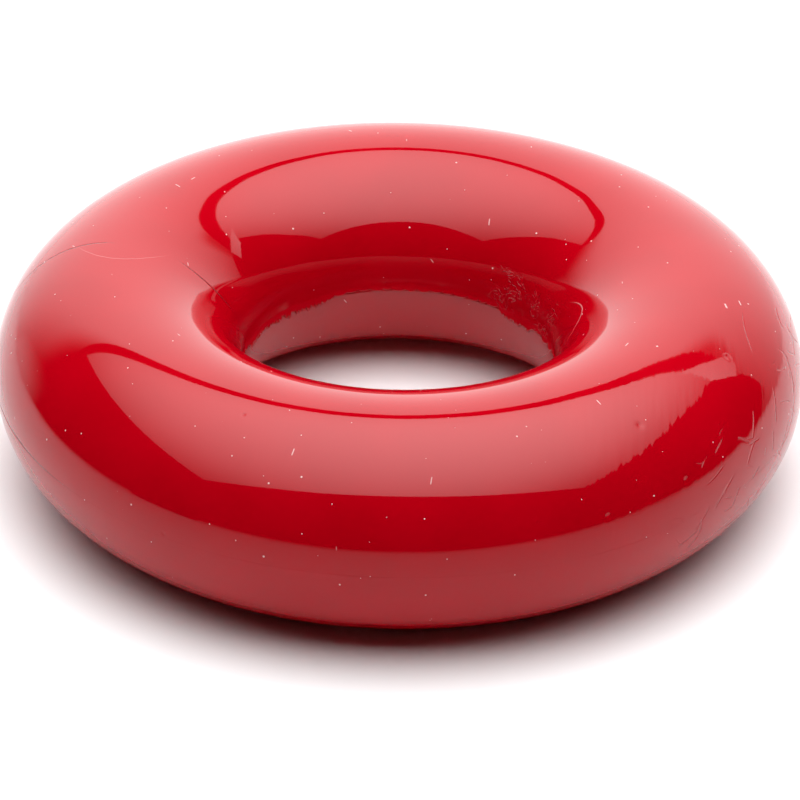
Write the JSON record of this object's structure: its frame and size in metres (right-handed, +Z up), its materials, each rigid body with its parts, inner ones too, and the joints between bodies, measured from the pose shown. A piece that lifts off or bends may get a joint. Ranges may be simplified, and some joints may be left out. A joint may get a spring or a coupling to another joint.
{
  "type": "moulded rubber ring",
  "caption": "Thick round ring of soft glossy red rubber, two moulded half-rings joined at a fine seam round the tube, to hold, throw, catch or slip over a peg.",
  "frame": {"origin": "centre of the circle that the ring rests on, in the resting plane", "axes": "+Z up along the ring's axis, +X and +Y in the resting plane, which are alike on a round ring"},
  "size_m": [0.07, 0.07, 0.0191],
  "materials": {
    "red_rubber": "high gloss, opaque deep red, finely scuffed"
  },
  "bodies": {
    "root": {"upper_half": "red_rubber", "lower_half": "red_rubber"}
  },
  "joints": []
}
